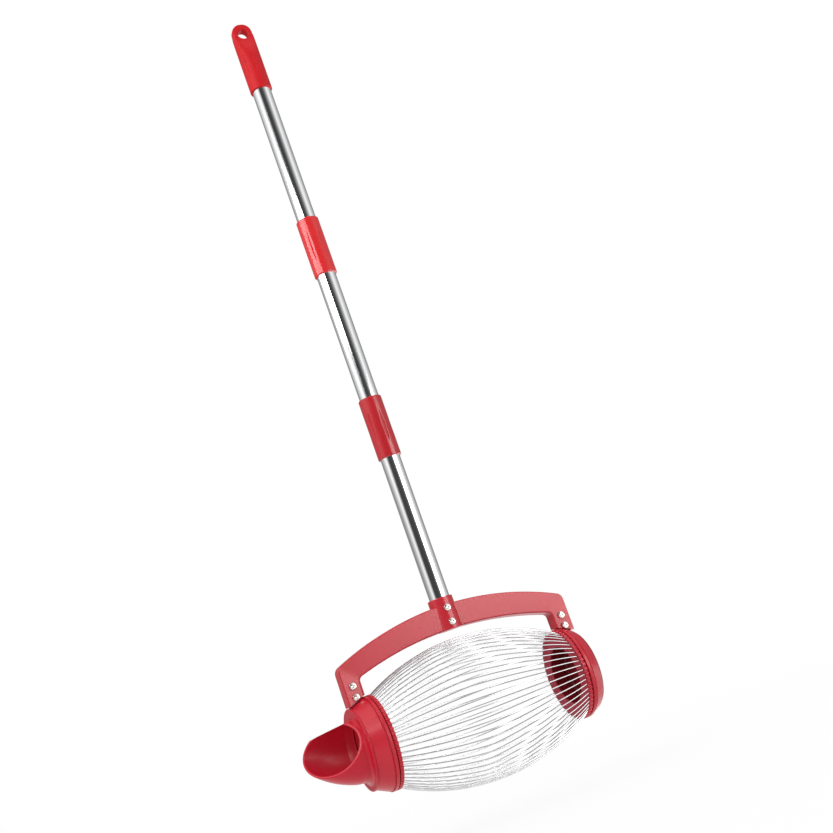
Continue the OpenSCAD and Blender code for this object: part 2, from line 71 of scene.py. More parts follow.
def skin(name, grids, sharp=32.0):
    """A mesh from grids of points in millimetres. A grid is (points, rows closed, columns closed): each
    point is joined to the next in its row and column, and a closed direction also joins last to first."""
    points, quads, count = [], [], 0
    for grid, close_rows, close_cols in grids:
        rows, cols = grid.shape[:2]
        index = np.arange(rows * cols).reshape(rows, cols) + count
        if close_rows:
            index = np.vstack([index, index[:1]])
        if close_cols:
            index = np.hstack([index, index[:, :1]])
        corners = [index[:-1, :-1], index[1:, :-1], index[1:, 1:], index[:-1, 1:]]
        quads.append(np.stack(corners, -1).reshape(-1, 4))
        points.append(grid.reshape(-1, 3))
        count += rows * cols
    mesh = bpy.data.meshes.new(name)
    mesh.from_pydata((np.vstack(points) * MM).tolist(), [], np.vstack(quads).tolist())
    tidy(mesh, sharp)
    piece = bpy.data.objects.new(name, mesh)
    bpy.context.scene.collection.objects.link(piece)
    return piece


def tidy(mesh, sharp):
    """Merges points that coincide, turns every face outwards and shades smooth up to the sharp angle in
    degrees."""
    work = bmesh.new()
    work.from_mesh(mesh)
    bmesh.ops.remove_doubles(work, verts=work.verts, dist=MERGE_DIST)
    bmesh.ops.dissolve_degenerate(work, edges=work.edges, dist=MERGE_DIST)
    bmesh.ops.recalc_face_normals(work, faces=work.faces)
    work.to_mesh(mesh)
    work.free()
    mesh.shade_smooth()
    mesh.set_sharp_from_angle(angle=math.radians(sharp))


def even_normals(piece):
    """Lets the large faces rule the shading, so that a flat face beside a small rounding stays flat."""
    piece.modifiers.new("even_normals", "WEIGHTED_NORMAL").keep_sharp = True


def rounded(corners, steps=5):
    """A closed outline with round corners. A corner is (across, along, radius): its arc touches both sides
    at radius / tan(half the angle between them) and runs between the touching points in equal angles."""
    corners = np.array(corners, float)
    place, radius = corners[:, :2], corners[:, 2]
    outline = []
    for i, (here, r) in enumerate(zip(place, radius)):
        back = place[i - 1] - here
        on = place[(i + 1) % len(place)] - here
        back, on = back / np.linalg.norm(back), on / np.linalg.norm(on)
        half = np.arccos(np.clip(back @ on, -1, 1)) / 2
        if r == 0 or half > STRAIGHT:
            outline.append(here[None])
            continue
        middle = here + (back + on) / np.linalg.norm(back + on) * r / math.sin(half)
        start = here + back * r / math.tan(half) - middle
        end = here + on * r / math.tan(half) - middle
        sweep = math.pi - 2 * half
        share = np.linspace(0, 1, steps + 1)[:, None]
        arc = np.sin((1 - share) * sweep) * start + np.sin(share * sweep) * end
        outline.append(middle + arc / math.sin(sweep))
    return np.vstack(outline)


def round_roller(profile, turn, side):
    """Carries a profile of (radius, station) round the roller's axis: the station runs outwards along X at
    that side, and the radius points to the turn, counted from straight up. Both may change along it."""
    radius, station = profile[..., 0], profile[..., 1]
    if radius.ndim == 1:
        radius, station = radius[:, None], station[:, None]
    radius, station, turn = np.broadcast_arrays(radius, station, turn)
    return np.stack([side * station, radius * np.sin(turn), AXIS_Z + radius * np.cos(turn)], -1)


def full_turn(count):
    """Equal angles once round."""
    return np.linspace(0, 2 * math.pi, count, endpoint=False)


class Field:
    """A shader socket with Python's operators: each operation on values adds one Math node to its tree."""

    def __init__(self, tree, socket):
        self.tree = tree
        self.socket = socket

    def node(self, kind, settings, inputs, output=0):
        """Adds a node of a kind, sets its settings first, fills its inputs with values or links, and gives
        one output."""
        made = self.tree.nodes.new(kind)
        for name, value in settings.items():
            setattr(made, name, value)
        for name, value in inputs.items():
            if isinstance(value, Field):
                self.tree.links.new(value.socket, made.inputs[name])
            else:
                made.inputs[name].default_value = value
        return Field(self.tree, made.outputs[output] if made.outputs else None)

    def math(self, operation, first, second=0.0):
        """One operation on two values."""
        return self.node("ShaderNodeMath", {"operation": operation}, {0: first, 1: second})

    def __add__(self, other):
        return self.math("ADD", self, other)

    def __radd__(self, other):
        return self.math("ADD", other, self)

    def __sub__(self, other):
        return self.math("SUBTRACT", self, other)

    def __rsub__(self, other):
        return self.math("SUBTRACT", other, self)

    def __mul__(self, other):
        return self.math("MULTIPLY", self, other)

    def __rmul__(self, other):
        return self.math("MULTIPLY", other, self)

    def __truediv__(self, other):
        return self.math("DIVIDE", self, other)

    def clamp(self, low, high):
        """This field, held between two values."""
        return self.node("ShaderNodeClamp", {}, {"Value": self, "Min": low, "Max": high})

    def noise(self, scale, detail, stretch=(1, 1, 1)):
        """Noise of about 1 / scale metres on this field of coordinates, drawn out by the stretch."""
        place = self.node("ShaderNodeMapping", {}, {"Vector": self, "Scale": stretch})
        return self.node("ShaderNodeTexNoise", {}, {"Vector": place, "Scale": scale, "Detail": detail})

    def between(self, low, high):
        """A colour between two, mixed by this field."""
        settings = {"data_type": "RGBA"}
        return self.node("ShaderNodeMix", settings, {0: self, 6: (*low, 1), 7: (*high, 1)}, 2)

    def bump(self, strength, distance):
        """The normal of a surface that this field raises by up to the distance in metres."""
        inputs = {"Strength": strength, "Distance": distance, "Height": self}
        return self.node("ShaderNodeBump", {}, inputs)


def finish_of(name, metallic, changing, **constant):
    """A Principled material. changing gets the Object coordinates and returns the sockets that vary."""
    material = bpy.data.materials.new(name)
    material.use_nodes = True
    material.node_tree.nodes.clear()
    start = Field(material.node_tree, None)
    place = start.node("ShaderNodeTexCoord", {}, {}, "Object")
    inputs = {"Metallic": metallic, **constant, **changing(place)}
    surface = start.node("ShaderNodeBsdfPrincipled", {}, inputs)
    start.node("ShaderNodeOutputMaterial", {}, {"Surface": surface})
    return material


def red_plastic(name, deep, bright, gloss, index):
    """Moulded red plastic: cloudy colour between two reds, a roughness that cloud and rubbing shift a
    little either way, and a fine mould grain."""

    def changing(place):
        cloud = place.noise(scale=38, detail=3)
        rub = place.noise(scale=150, detail=3, stretch=(1, 1, 0.4))
        pores = place.noise(scale=2600, detail=1)
        return {
            "Base Color": cloud.between(deep, bright),
            "Roughness": (gloss + 0.04 * (rub - 0.5) + 0.05 * (cloud - 0.5)).clamp(0.05, 0.9),
            "Normal": pores.bump(strength=0.1, distance=0.00005),
        }

    return finish_of(name, 0.0, changing, IOR=index)


def dress(piece, body, material, slot, *nodes):
    """Gives a piece its finish and its body, and hides the nodes that it stands for."""
    piece.data.materials.clear()
    piece.data.materials.append(material)
    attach(piece, body)
    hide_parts(*nodes)


roller_red = red_plastic("roller_red", (0.53, 0.011, 0.026), (0.60, 0.017, 0.036), 0.30, 1.41)
# Painted shade: a deep red for the right ring's bore lining and the end cap, standing for the shade inside
# them.
painted_shade_red = red_plastic("painted_shade_red", (0.13, 0.003, 0.006), (0.18, 0.005, 0.009), 0.34, 1.38)
# Painted shade: a mauve red, darkened for the ring faces towards the cage, which stand in shade.
mauve_painted_shade_red = red_plastic("mauve_painted_shade_red", (0.32, 0.009, 0.028), (0.38, 0.013, 0.036), 0.36, 1.34)
bore_red = {LEFT: roller_red, RIGHT: painted_shade_red}


def ring_edge(turn):
    """Radius of the toothed edge: the ring's own, less a round notch midway between two wires."""
    pitch = 2 * math.pi / WIRE_COUNT
    off = (turn % pitch) - pitch / 2
    centre_r = RING_R - NOTCH_DEPTH + NOTCH_R
    across = centre_r * np.sin(off)
    inside = np.sqrt(np.clip(NOTCH_R**2 - across**2, 0, None))
    notch = np.where(np.abs(across) < NOTCH_R, centre_r * np.cos(off) - inside, RING_R)
    return np.minimum(notch, RING_R)


def toothed_ring(side):
    """The ring's closed profile, with the rows on its edge drawn in by the notches and eased at both
    faces."""
    turn = full_turn(WIRE_COUNT * TOOTH_SAMPLES)
    edge = ring_edge(turn)
    far = JOURNAL_END[side]
    profile = [
        (LINER_R + CORNER_CUT, RING_FACE), (EVEN_R, RING_FACE), (edge - TOOTH_EASE, RING_FACE),
        (edge, RING_FACE + TOOTH_EASE), (edge, RING_BACK - TOOTH_EASE), (edge - TOOTH_EASE, RING_BACK),
        (JOURNAL_R, RING_BACK), (JOURNAL_R, far), (LINER_R, far), (LINER_R, RING_FACE + CORNER_CUT),
    ]
    rows = np.array([np.stack(np.broadcast_arrays(r, s, turn)[:2], -1) for r, s in profile])
    return round_roller(rows, turn, side)


for side, node in ((LEFT, "left_ring"), (RIGHT, "right_ring")):
    ring = skin(node + "_toothed", [(toothed_ring(side), True, True)])
    even_normals(ring)
    dress(ring, "cage", roller_red, "red_plastic", node)
    # A lining in the bore and a thin disc just proud of the face carry painted shade: deep red in the right
    # bore (the left bore is plain roller red), darker mauve red on both faces.
    near, far, face = RING_FACE + LINING_DEPTH, JOURNAL_END[side], RING_FACE - FACE_PROUD
    bore = rounded([(THROAT_R, near, LINING_EASE), (LINER_R, near, 0),
                    (LINER_R, far, 0), (THROAT_R, far, LINING_EASE)])
    disc = rounded([(LINER_R, face, 0), (FACE_R, face, 0), (FACE_R, near, 0), (LINER_R, near, 0)])
    for name, profile, red in (("_bore", bore, bore_red[side]), ("_face", disc, mauve_painted_shade_red)):
        lining = skin(node + name, [(round_roller(profile, full_turn(TURN_SAMPLES), side), True, True)])
        dress(lining, "cage", red, "red_plastic", node)

# Keepers: flat red rings pressed into the backs of the toothed rings, so that no wire can work out
# backwards. They stop short of the notches and stand a hair proud of the ring.
KEEPER_IN_R, KEEPER_OUT_R = 41.6, 46.9
KEEPER_T, KEEPER_PROUD, KEEPER_EASE = 1.5, 0.05, 0.2
keeper_out = RING_BACK + KEEPER_PROUD
keeper_in = keeper_out - KEEPER_T
keeper_profile = rounded([(KEEPER_IN_R, keeper_in, 0), (KEEPER_OUT_R, keeper_in, 0),
                          (KEEPER_OUT_R, keeper_out, KEEPER_EASE), (KEEPER_IN_R, keeper_out, KEEPER_EASE)])
for side, node in ((LEFT, "left_keeper"), (RIGHT, "right_keeper")):
    turned = round_roller(keeper_profile, full_turn(TURN_SAMPLES), side)
    keeper = skin(node + "_flat", [(turned, True, True)])
    even_normals(keeper)
    dress(keeper, "cage", roller_red, "red_plastic", node)

# Wires: sixty bright spring wires, bowed outwards in one plane each and pushed into slanting holes in
# the rings. Each is an arc that runs from one keeper to the other.
WIRE_R = 0.6
WIRE_TOP_R = 73.9
WIRE_ROOT_R = 46.5
WIRE_RISE = WIRE_TOP_R - WIRE_ROOT_R
WIRE_ARC_R = (RING_FACE**2 + WIRE_RISE**2) / (2 * WIRE_RISE)
WIRE_END = 108.7
WIRE_SIDES = 10
WIRE_STATIONS = 72


def wire_cage():
    """A circle carried along the arc of each wire. The circle shrinks to a point at both ends, which
    closes them."""
    half = math.asin(WIRE_END / WIRE_ARC_R)
    bend = np.linspace(-half, half, WIRE_STATIONS)
    bend = np.concatenate([bend[:1], bend, bend[-1:]])[:, None]
    thick = np.full_like(bend, WIRE_R)
    thick[[0, -1]] = 0
    round_wire = full_turn(WIRE_SIDES)
    out = thick * np.cos(round_wire)
    aside = thick * np.sin(round_wire)
    station = WIRE_ARC_R * np.sin(bend) + out * np.sin(bend)
    radius = WIRE_TOP_R - WIRE_ARC_R + WIRE_ARC_R * np.cos(bend) + out * np.cos(bend)
    turn = full_turn(WIRE_COUNT)[:, None, None]
    y = radius * np.sin(turn) + aside * np.cos(turn)
    z = AXIS_Z + radius * np.cos(turn) - aside * np.sin(turn)
    return np.stack(np.broadcast_arrays(station, y, z), -1)


def drawn_wire(place):
    """Bright drawn wire, a little dull in patches, with fine draw lines along it."""
    patch = place.noise(scale=60, detail=2)
    lines = place.noise(scale=1500, detail=2, stretch=(0.06, 1, 1))
    return {
        "Base Color": patch.between((0.60, 0.60, 0.61), (0.74, 0.74, 0.75)),
        "Roughness": 0.12 + 0.08 * patch + 0.04 * lines,
        "Normal": lines.bump(strength=0.08, distance=0.0001),
    }


wire_steel = finish_of("wire_steel", 1.0, drawn_wire)
wires = skin("wire_cage", [(wire, False, True) for wire in wire_cage()], sharp=60.0)
dress(wires, "cage", wire_steel, "wire_steel", "wires")

# Collars: fixed red cones that hold the bearing bores of the rings. Each has a thin lip against the
# ring, a groove behind the lip, and a tab that stands up into the lug of the yoke.
COLLAR_IN = 111.0
LIP_END = 114.5
COLLAR_END = {LEFT: 130.5, RIGHT: 125.0}
CONE_R = 48.0
CONE_DROP = 7.2
BEARING_R = 34.08
BEARING_WALL = 3.0
COLLAR_WALL = 2.5
GROOVE_W, GROOVE_DEPTH = 0.9, 1.3
BORE_EASE, LIP_EASE, GROOVE_EASE, CONE_EASE, END_EASE = 0.3, 0.5, 0.2, 0.4, 0.9
TAB_W, TAB_T, TAB_EASE = 15.0, 8.0, 0.5
TAB_TOP = 139.75
TAB_FOOT = {LEFT: 39.5, RIGHT: 42.3}
LUG_MID = 121.5


def cone_at(station):
    """The cone's radius: it falls evenly from the lip to the outer end of the longer, left collar."""
    return CONE_R - CONE_DROP * (station - LIP_END) / (COLLAR_END[LEFT] - LIP_END)


def collar_profile(side):
    """Lip, groove, cone, open back and bearing bore, with eased edges."""
    end = COLLAR_END[side]
    end_r = cone_at(end)
    groove_r = CONE_R - GROOVE_DEPTH
    groove_end = LIP_END + GROOVE_W
    bearing_out = BEARING_R + BEARING_WALL
    return rounded([
        (BEARING_R, COLLAR_IN, BORE_EASE), (RING_R, COLLAR_IN, LIP_EASE), (RING_R, LIP_END, LIP_EASE),
        (groove_r, LIP_END, GROOVE_EASE), (groove_r, groove_end, GROOVE_EASE),
        (cone_at(groove_end), groove_end, CONE_EASE), (end_r, end, END_EASE),
        (end_r - COLLAR_WALL, end, 0), (CONE_R - COLLAR_WALL, LIP_END, LIP_EASE),
        (bearing_out, LIP_END, LIP_EASE), (bearing_out, end, 0), (BEARING_R, end, BORE_EASE),
    ])


def block(x0, x1, y0, y1, z0, z1, ease):
    """A block with eased upright edges: a rounded rectangle carried from z0 to z1, drawn in to a point at
    both ends."""
    loop = rounded([(x0, y0, ease), (x1, y0, ease), (x1, y1, ease), (x0, y1, ease)], steps=3)
    middle = loop.mean(0)
    rows = [(middle + 0 * loop, z0), (loop, z0), (loop, z1), (middle + 0 * loop, z1)]
    return np.array([np.column_stack([xy, np.full(len(xy), z)]) for xy, z in rows])


for side, node in ((LEFT, "left_collar"), (RIGHT, "right_collar")):
    turned = round_roller(collar_profile(side), full_turn(TURN_SAMPLES), side)
    near, far = sorted((side * (LUG_MID - TAB_W / 2), side * (LUG_MID + TAB_W / 2)))
    tab = block(near, far, -TAB_T / 2, TAB_T / 2, AXIS_Z + TAB_FOOT[side], TAB_TOP, TAB_EASE)
    collar = skin(node + "_cone", [(turned, True, True), (tab, False, True)])
    even_normals(collar)
    dress(collar, "frame", roller_red, "red_plastic", node)

# Spout: one red moulding that plugs into the left collar. A flange covers the collar's end, and a hollow
# neck leads into a scoop that tilts up and tapers to a round tip. Its mouth slants towards the front
# under a flat brim.
FLANGE_R = 41.8
FLANGE_T = 2.0
FLANGE_END = COLLAR_END[LEFT] + FLANGE_T
FLANGE_IN_EASE, FLANGE_OUT_EASE, FLANGE_FLAT = 0.5, 0.7, 1.0
SPIGOT_R = 34.03
SPIGOT_LEN, SPIGOT_EASE = 3.5, 0.5
NECK_R = 7.0
NECK_END = FLANGE_END + NECK_R
NECK_CENTRE_R = 37.1
NECK_STATION, NECK_ROOM, NECK_LEAST, LIP_ROOM = 135.0, 1.2, 0.1, 1.6
SCOOP_ROOT = 136.0
SCOOP_R = 31.6
SCOOP_ARC_R = 92.0
SCOOP_WALL = 2.2
SCOOP_TILT = math.radians(14)
MOUTH_REACH = 35.7
MOUTH_SLOPE = math.tan(math.radians(47.2))
MOUTH_TURN = math.radians(109.6)
MOUTH_FROM, MOUTH_TO, HALVINGS = -6.0, 0.8 * SCOOP_ARC_R, 40
BRIM_H = 31.8
BRIM_FALL = math.tan(math.radians(20.6))
RIM_ROUND = 0.9
THROAT_STEP = 0.6
SETTLE_SHARE = 0.2
SPOUT_TURNS, NECK_ROWS, SKIN_ROWS, RIM_ROWS = 192, 10, 34, 11


def scoop_radius(deep, inset):
    """The scoop's radius at a depth past its root: an arc that starts along the axis and bends in to the
    tip."""
    arc = SCOOP_ARC_R - inset
    return SCOOP_R - SCOOP_ARC_R + np.sqrt(arc**2 - np.clip(deep, 0, arc) ** 2)


def mouth_depth(turn, inset):
    """Depth at which the mouth cuts the scoop at each turn: where the skin first meets the slanting plane,
    whose depth falls with the radius towards the front, or the flat brim, which falls towards the tip. It
    is found by halving the range in which they cross."""
    low, high = np.full_like(turn, MOUTH_FROM), np.full_like(turn, MOUTH_TO)
    for _ in range(HALVINGS):
        middle = (low + high) / 2
        radius = scoop_radius(middle, inset)
        kept = middle < MOUTH_REACH + MOUTH_SLOPE * radius * np.cos(turn - MOUTH_TURN)
        kept &= radius * np.cos(turn) + BRIM_FALL * middle < BRIM_H
        low, high = np.where(kept, middle, low), np.where(kept, high, middle)
    return (low + high) / 2


def scoop_points(deep, inset, turn):
    """Points of the scoop's outer or inner skin: circles square to its axis, which tilts up from the
    root."""
    radius = scoop_radius(deep, inset)
    rise = radius * np.cos(turn)
    station = SCOOP_ROOT + deep * math.cos(SCOOP_TILT) - rise * math.sin(SCOOP_TILT)
    z = AXIS_Z + deep * math.sin(SCOOP_TILT) + rise * math.cos(SCOOP_TILT)
    return np.stack(np.broadcast_arrays(-station, radius * np.sin(turn), z), -1)


def scoop_depth(station, inset, turn):
    """Depth at which the skin crosses a station near its root."""
    rise = (SCOOP_R - inset) * np.cos(turn)
    return (station - SCOOP_ROOT + rise * math.sin(SCOOP_TILT)) / math.cos(SCOOP_TILT)


def lip_depth(turn, inset):
    """Depth of the mouth's edge, which stays a little in front of the flange."""
    return np.maximum(mouth_depth(turn, inset), scoop_depth(FLANGE_END + LIP_ROOM, inset, turn))


def all_round(profile, turn):
    """Repeats the points of a profile at every turn."""
    return np.broadcast_to(profile[:, None], (len(profile), len(turn), 2))


def spout_rows():
    """Rows round the spout: flange, neck, outer skin up to the mouth, a half-round rim, inner skin, throat,
    spigot. The neck stops short where the mouth comes close to the flange, and the outer skin starts where
    the neck stops."""
    turn = full_turn(SPOUT_TURNS)
    near = COLLAR_END[LEFT]
    outer_end, inner_end = lip_depth(turn, 0.0), lip_depth(turn, SCOOP_WALL)
    outer_lip = scoop_points(outer_end, 0.0, turn)
    inner_lip = scoop_points(inner_end, SCOOP_WALL, turn)
    neck_end = np.clip(-outer_lip[:, 0] - NECK_ROOM, FLANGE_END + NECK_LEAST, NECK_STATION)
    bend = np.linspace(0, 1, NECK_ROWS)[:, None] * np.arccos((NECK_END - neck_end) / NECK_R)
    neck = np.stack([NECK_CENTRE_R - NECK_R * np.sin(bend), NECK_END - NECK_R * np.cos(bend)], -1)
    flange = rounded([(SPIGOT_R, near, 0), (FLANGE_R, near, FLANGE_IN_EASE),
                      (FLANGE_R, FLANGE_END, FLANGE_OUT_EASE), (NECK_CENTRE_R + FLANGE_FLAT, FLANGE_END, 0)])
    outside = round_roller(np.concatenate([all_round(flange[:-1], turn), neck]), turn, LEFT)
    share = np.linspace(0, 1, SKIN_ROWS)[1:, None]
    start = scoop_depth(neck_end, 0.0, turn)
    outer = scoop_points(start + (outer_end - RIM_ROUND - start) * share, 0.0, turn)
    settle = np.clip(1 - share / SETTLE_SHARE, 0, 1)[..., None]
    outer = outer + settle * (outside[-1] - scoop_points(start, 0.0, turn))
    throat_end = np.minimum(NECK_STATION, -inner_lip[:, 0] - NECK_ROOM)
    stop = scoop_depth(throat_end, SCOOP_WALL, turn)
    inner = scoop_points(stop + (inner_end - RIM_ROUND - stop) * share[::-1], SCOOP_WALL, turn)
    lip = (outer_lip + inner_lip) / 2
    swing = np.linspace(0, math.pi, RIM_ROWS)[1:-1, None, None]
    centre, half = (outer[-1] + inner[0]) / 2, (outer[-1] - inner[0]) / 2
    rim = centre + half * np.cos(swing) + (lip - centre) * np.sin(swing)
    throat = np.stack([np.full_like(turn, THROAT_R), throat_end - THROAT_STEP], -1)[None]
    spigot = rounded([(THROAT_R, near, 0), (THROAT_R, near - SPIGOT_LEN, SPIGOT_EASE),
                      (SPIGOT_R, near - SPIGOT_LEN, SPIGOT_EASE)])
    inside = round_roller(np.concatenate([throat, all_round(spigot, turn)]), turn, LEFT)
    return np.concatenate([outside, outer, rim, inner, inside])


spout = skin("scoop_spout", [(spout_rows(), True, True)], sharp=50.0)
even_normals(spout)
spout_red = red_plastic("spout_red", (0.52, 0.008, 0.024), (0.60, 0.012, 0.034), 0.30, 1.35)
dress(spout, "frame", spout_red, "red_plastic", "spout")

# End cap: a shallow red cap on the right collar, with the same flange and spigot as the spout. It closes
# the cage, and its outer face is slightly dished. The whole cap is painted a deep red as painted shade,
# for the shade inside it.
CAP_WALL = 2.5
CAP_DISH = 0.6
DISH_FOOT, DISH_EDGE = 9.0, 6.5
DISH_EASE, CAP_OUT_EASE, CAP_IN_EASE, CAP_FLOOR_EASE = 1.0, 0.9, 0.3, 1.0


def cap_profile():
    """The dished outer face from the axis to the flange, the spigot, then the flat floor inside."""
    near = COLLAR_END[RIGHT]
    out = near + FLANGE_T
    return rounded([
        (0.0, out - CAP_DISH, 0), (FLANGE_R - DISH_FOOT, out - CAP_DISH, DISH_EASE),
        (FLANGE_R - DISH_EDGE, out, DISH_EASE), (FLANGE_R, out, CAP_OUT_EASE),
        (FLANGE_R, near, CAP_IN_EASE), (SPIGOT_R, near, 0), (SPIGOT_R, near - SPIGOT_LEN, SPIGOT_EASE),
        (THROAT_R, near - SPIGOT_LEN, SPIGOT_EASE), (THROAT_R, out - CAP_WALL, CAP_FLOOR_EASE),
        (0.0, out - CAP_WALL, 0),
    ])


cap = skin("closed_cap", [(round_roller(cap_profile(), full_turn(TURN_SAMPLES), RIGHT), False, True)])
even_normals(cap)
# Painted shade: the whole cap takes the deep red that stands for the shade inside it.
dress(cap, "frame", painted_shade_red, "red_plastic", "end_cap")

# Yoke: a red moulded arch over the cage. Its front is flat, its back is hollowed between ribs, a round
# boss in the middle takes the handle, and a lug at each end drops to the collar.
ARCH_T = 18.0
ARCH_EDGE = 1.3
LUG_IN, LUG_OUT = 112.0, 131.0
TOP_Z, TOP_ARC_R, SHOULDER_R = 184.5, 318.0, 8.0
UNDER_Z, UNDER_ARC_R, INNER_CORNER_R = 158.5, 370.0, 5.0
LUG_GAP = 0.5
LEG_ROWS, CORNER_ROWS, ARCH_ROWS, EDGE_ROWS = 4, 9, 73, 5
POCKET_WALL = 3.0
POCKET_DRAFT = 0.5
POCKET_FROM, POCKET_TO, RIB_T, RIB_COUNT = 16.5, 109.0, 2.5, 3
BOSS_R, BOSS_TOP, BOSS_EDGE = 13.5, 192.5, 1.0
BOSS_FOOT, BOSS_FOOT_EASE = UNDER_Z - 0.4, 0.8
BOSS_SAMPLES = 96
TUBE_R = 11.0
SOCKET_R, SOCKET_FOOT = TUBE_R + 0.05, 161.0
FLARE_R, FLARE_DEPTH, FLARE_OVER = TUBE_R + 0.9, 0.8, 0.05
CUT_OVER = 3.0
HEAD_R = 3.6
BOSS_SCREWS = (180.5, 165.3)
LUG_SCREWS = (124.05, 135.55)
BOSS_SEAT = math.sqrt(BOSS_R**2 - HEAD_R**2)
WELL_R, WELL_REACH, WELL_SAMPLES = HEAD_R + 0.35, 20.0, 40


def arch_curve(half, crown, arc_r, corner_r, share):
    """One edge of the arch from the right foot over the crown to the left foot: leg, round corner, long
    arc, corner, leg. The long arc is sampled at the shares, from 1 at its right end to -1 at its left."""
    corner_x = half - corner_r
    arc_z = crown - arc_r
    corner_z = arc_z + math.sqrt((arc_r - corner_r) ** 2 - corner_x**2)
    lean = math.asin(corner_x / (arc_r - corner_r))
    foot = AXIS_Z + (FLANGE_R if half > COLLAR_END[LEFT] else cone_at(half)) + LUG_GAP
    leg = np.column_stack([np.full(LEG_ROWS, half), np.linspace(foot, corner_z, LEG_ROWS)])
    swing = np.linspace(0, math.pi / 2 - lean, CORNER_ROWS)[1:-1]
    corner = np.column_stack([corner_x + corner_r * np.cos(swing), corner_z + corner_r * np.sin(swing)])
    long_arc = np.column_stack([arc_r * np.sin(lean * share), arc_z + arc_r * np.cos(lean * share)])
    flip = np.array([-1, 1])
    return np.vstack([leg, corner, long_arc, corner[::-1] * flip, leg[::-1] * flip])


def arch_rows():
    """A rounded rectangle carried along the arch between its two edges. The floor of the back face sinks to
    the pockets between the ribs, with two close rows at each rib so that its walls stand up."""
    step = (POCKET_TO - POCKET_FROM + RIB_T) / (RIB_COUNT + 1)
    starts = POCKET_FROM + step * np.arange(RIB_COUNT + 1)
    ends = starts + step - RIB_T
    edges = np.concatenate([starts, starts + POCKET_DRAFT, ends, ends - POCKET_DRAFT])
    reach = (LUG_IN + LUG_OUT - SHOULDER_R - INNER_CORNER_R) / 2
    x = np.unique(np.concatenate([np.linspace(-reach, reach, ARCH_ROWS), edges, -edges]))[::-1]
    outer = arch_curve(LUG_OUT, TOP_Z, TOP_ARC_R, SHOULDER_R, x / reach)
    inner = arch_curve(LUG_IN, UNDER_Z, UNDER_ARC_R, INNER_CORNER_R, x / reach)
    legs = np.full((len(outer) - len(x)) // 2, np.inf)
    at = np.abs(np.concatenate([legs, x, legs]))[:, None]
    hollow = ((at > starts + POCKET_DRAFT / 2) & (at < ends - POCKET_DRAFT / 2)).any(1)
    back, front, floor = ARCH_T / 2, -ARCH_T / 2, -ARCH_T / 2 + POCKET_WALL
    arc = np.linspace(0, math.pi / 2, EDGE_ROWS)
    eased = [(ARCH_EDGE * (1 - math.sin(a)), front + ARCH_EDGE * (1 - math.cos(a))) for a in arc]
    lower_front = [(0, b, y) for b, y in eased[::-1]]
    upper_front = [(1, -b, y) for b, y in eased]
    upper_back = [(1, -b, -y) for _, b, y in lower_front]
    lower_back = [(0, -b, -y) for _, b, y in upper_front]
    deep = POCKET_WALL + POCKET_DRAFT
    pocket = [(1, -POCKET_WALL, back), (1, -deep, floor), (0, deep, floor), (0, POCKET_WALL, back)]
    section = lower_front[::-1] + upper_front + upper_back + pocket + lower_back
    along = (outer - inner) / np.linalg.norm(outer - inner, axis=1)[:, None]
    rows = []
    for end, offset, y in section:
        edge = outer if end else inner
        place = edge + along * offset
        depth = np.where(hollow, y, back) if y == floor else np.full(len(place), y)
        rows.append(np.column_stack([place[:, 0], depth, place[:, 1]]))
    grid = np.array(rows).transpose(1, 0, 2)
    first, last = grid[:1].mean(1, keepdims=True), grid[-1:].mean(1, keepdims=True)
    return np.concatenate([first + 0 * grid[:1], grid, last + 0 * grid[-1:]])


def upright(profile, turn):
    """Carries a profile of (radius, height) round the handle's axis. The radius may change along the
    turn."""
    radius, height = profile[..., 0], profile[..., 1]
    if radius.ndim == 1:
        radius, height = radius[:, None], height[:, None]
    radius, height, turn = np.broadcast_arrays(radius, height, turn)
    return np.stack([radius * np.cos(turn), radius * np.sin(turn), height], -1)


def across(profile, turn, x, z):
    """Carries a profile of (radius, depth along Y) round a line through x and z."""
    points = upright(np.asarray(profile, float), turn)
    return np.stack([x + points[..., 0], points[..., 2], z - points[..., 1]], -1)


def cut(piece, tool, operation, sharp=32.0):
    """Joins a tool to a piece or takes it away, and keeps the result as the piece's own mesh."""
    change = piece.modifiers.new("cut", "BOOLEAN")
    change.operation = operation
    change.solver = "MANIFOLD"
    change.object = tool
    shaped = piece.evaluated_get(bpy.context.evaluated_depsgraph_get())
    result = bpy.data.meshes.new_from_object(shaped)
    piece.modifiers.clear()
    old = piece.data
    piece.data = result
    bpy.data.meshes.remove(old)
    bpy.data.objects.remove(tool)
    tidy(piece.data, sharp)


yoke = skin("arched_yoke", [(arch_rows(), False, True)])
boss = rounded([(0, BOSS_FOOT, 0), (BOSS_R, BOSS_FOOT, BOSS_FOOT_EASE),
                (BOSS_R, BOSS_TOP, BOSS_EDGE), (0, BOSS_TOP, 0)])
cut(yoke, skin("boss", [(upright(boss, full_turn(BOSS_SAMPLES)), False, True)]), "UNION")
socket = np.array([
    (0, SOCKET_FOOT), (SOCKET_R, SOCKET_FOOT), (SOCKET_R, BOSS_TOP - FLARE_DEPTH),
    (FLARE_R, BOSS_TOP + FLARE_OVER), (FLARE_R, BOSS_TOP + CUT_OVER), (0, BOSS_TOP + CUT_OVER),
])
cut(yoke, skin("socket", [(upright(socket, full_turn(BOSS_SAMPLES)), False, True)]), "DIFFERENCE")
for z in BOSS_SCREWS:
    for way in (-1, 1):
        reach, seat = way * WELL_REACH, way * BOSS_SEAT
        well = [(0, reach), (WELL_R, reach), (WELL_R, seat), (0, seat)]
        tool = skin("screw_seat", [(across(well, full_turn(WELL_SAMPLES), 0, z), False, True)])
        cut(yoke, tool, "DIFFERENCE")
even_normals(yoke)
yoke_red = red_plastic("yoke_red", (0.54, 0.013, 0.026), (0.61, 0.019, 0.036), 0.26, 1.49)
dress(yoke, "frame", yoke_red, "red_plastic", "yoke")

